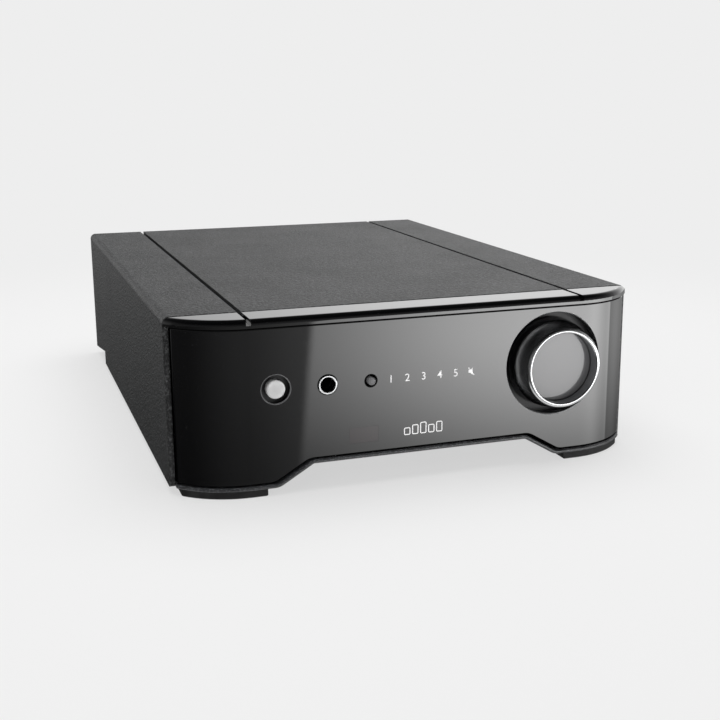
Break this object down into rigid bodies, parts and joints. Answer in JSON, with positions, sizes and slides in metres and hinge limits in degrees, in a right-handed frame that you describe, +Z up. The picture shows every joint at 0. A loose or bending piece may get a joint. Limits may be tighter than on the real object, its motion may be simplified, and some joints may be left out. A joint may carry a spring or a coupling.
{
  "type": "integrated amplifier",
  "caption": "Half-width integrated amplifier: low black case with a curved gloss front, arched base, ringed volume knob, headphone socket, push buttons and rear sockets.",
  "frame": {"origin": "centre of the overall footprint, on the surface the feet stand on", "axes": "+Z up, front faces -Y, +X to the right when seen from the front"},
  "size_m": [0.216, 0.3312, 0.0762],
  "materials": {
    "cover_black": "fine-textured satin black powder coat",
    "base_black": "satin dark grey paint",
    "rear_black": "satin black paint",
    "gloss_black": "high gloss black",
    "window_black": "dark infra-red filter",
    "rubber_black": "matt black rubber",
    "bright_chrome": "polished chrome",
    "silver_satin": "satin silver",
    "black_plastic": "matt black moulding",
    "smoke_plastic": "smoke grey moulding",
    "clear_plastic": "clear moulding",
    "white_plastic": "white moulding",
    "red_plastic": "red moulding",
    "zinc_steel": "zinc-plated steel",
    "black_steel": "black oxide steel",
    "gold_plate": "gold plate",
    "board_green": "green solder mask",
    "toroid_wrap": "varnished tape over the windings",
    "capacitor_sleeve": "dark blue sleeve",
    "bare_aluminium": "mill finish",
    "fuse_glass": "clear glass"
  },
  "bodies": {
    "root": {"top_cover": "cover_black", "front_lip": "gloss_black", "fascia_panel": "gloss_black", "base_tray": "base_black", "rear_panel": "rear_black", "rubber_feet": "rubber_black", "case_screws": "black_steel", "front_bracket": "zinc_steel", "fascia_standoffs": "zinc_steel", "remote_window": "window_black", "power_button_guide": "black_plastic", "power_switch": "black_plastic", "headphone_jack_ring": "bright_chrome", "headphone_jack_body": "black_plastic", "jack_contacts": "gold_plate", "select_switch": "black_plastic", "display_board": "board_green", "indicator_leds": "red_plastic", "light_guide": "clear_plastic", "infrared_receiver": "black_plastic", "knob_recess_cup": "black_plastic", "potentiometer_bushing": "gold_plate", "potentiometer_nut": "zinc_steel", "potentiometer_body": "black_plastic", "motor_gear_case": "black_plastic", "volume_motor": "zinc_steel", "phono_shells": "bright_chrome", "phono_insulators_left": "white_plastic", "phono_insulators_right": "red_plastic", "phono_contacts": "gold_plate", "phono_housings": "black_plastic", "ground_post": "gold_plate", "speaker_post_cores": "gold_plate", "speaker_post_collars": "black_plastic", "mains_inlet": "black_plastic", "mains_inlet_pins": "bright_chrome", "main_board": "board_green", "board_standoffs": "gold_plate", "board_screws": "zinc_steel", "toroidal_transformer": "toroid_wrap", "transformer_pad": "rubber_black", "transformer_clamp": "zinc_steel", "transformer_bolt": "zinc_steel", "reservoir_capacitors": "capacitor_sleeve", "heatsink_bar": "bare_aluminium", "output_transistors": "black_plastic", "board_components": "black_plastic"},
    "volume_knob": {"volume_knob_ring": "bright_chrome", "volume_knob_face": "gloss_black", "volume_knob_hub": "black_plastic", "potentiometer_shaft": "zinc_steel"},
    "power_button": {"power_button": "silver_satin"},
    "select_button": {"select_button": "smoke_plastic"},
    "ground_nut": {"ground_nut": "gold_plate"},
    "right_red_cap": {"right_speaker_cap_red": "red_plastic"},
    "right_black_cap": {"right_speaker_cap_black": "black_plastic"},
    "left_red_cap": {"left_speaker_cap_red": "red_plastic"},
    "left_black_cap": {"left_speaker_cap_black": "black_plastic"},
    "fuse_drawer": {"fuse_drawer": "black_plastic", "mains_fuse": "fuse_glass"}
  },
  "joints": [
    {"name": "volume_turn", "type": "hinge", "parent": "root", "child": "volume_knob", "pos_m": [0.0632, -0.1564, 0.0459], "axis": [0, 1, 0], "range_deg": [-150, 150]},
    {"name": "power_press", "type": "slide", "parent": "root", "child": "power_button", "axis": [0, 1, 0], "range_m": [0, 0.0028], "stiffness_N_per_m": 900},
    {"name": "select_press", "type": "slide", "parent": "root", "child": "select_button", "axis": [0, 1, 0], "range_m": [0, 0.0008], "stiffness_N_per_m": 1500},
    {"name": "ground_nut_turn", "type": "hinge", "parent": "root", "child": "ground_nut", "pos_m": [0.0975, 0.1446, 0.0422], "axis": [0, 1, 0], "range_deg": [0, 720]},
    {"name": "right_red_cap_turn", "type": "hinge", "parent": "root", "child": "right_red_cap", "pos_m": [-0.018, 0.1496, 0.0552], "axis": [0, 1, 0], "range_deg": [0, 720]},
    {"name": "right_black_cap_turn", "type": "hinge", "parent": "root", "child": "right_black_cap", "pos_m": [-0.018, 0.1496, 0.0322], "axis": [0, 1, 0], "range_deg": [0, 720]},
    {"name": "left_red_cap_turn", "type": "hinge", "parent": "root", "child": "left_red_cap", "pos_m": [-0.038, 0.1496, 0.0552], "axis": [0, 1, 0], "range_deg": [0, 720]},
    {"name": "left_black_cap_turn", "type": "hinge", "parent": "root", "child": "left_black_cap", "pos_m": [-0.038, 0.1496, 0.0322], "axis": [0, 1, 0], "range_deg": [0, 720]},
    {"name": "fuse_drawer_slide", "type": "slide", "parent": "root", "child": "fuse_drawer", "axis": [0, 1, 0], "range_m": [0, 0.014]}
  ]
}
